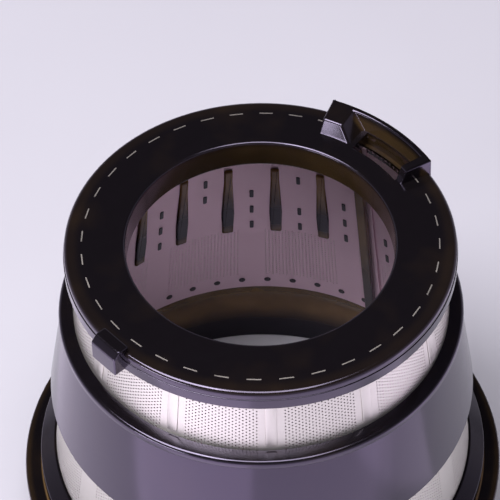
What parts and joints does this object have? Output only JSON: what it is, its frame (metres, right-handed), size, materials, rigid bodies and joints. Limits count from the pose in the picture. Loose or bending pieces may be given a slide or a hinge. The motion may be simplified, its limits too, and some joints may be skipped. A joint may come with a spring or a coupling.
{
  "type": "juicer mesh screen",
  "caption": "Conical strainer for a slow juicer: perforated steel cone gripped by a dark plastic frame with a ring at the narrow end, a ribbed skirt and a flanged mouth.",
  "frame": {"origin": "centre of the mouth's rim, on the plane it stands on", "axes": "+Z along the cone's axis, from the mouth up to the ring; +X through the middle of the pulp outlet's guard"},
  "size_m": [0.1004, 0.1004, 0.0873],
  "materials": {
    "frame_plastic": "gloss",
    "screen_steel": "satin"
  },
  "bodies": {
    "root": {"moulded_frame": "frame_plastic", "screen_sheet": "screen_steel"}
  },
  "joints": []
}
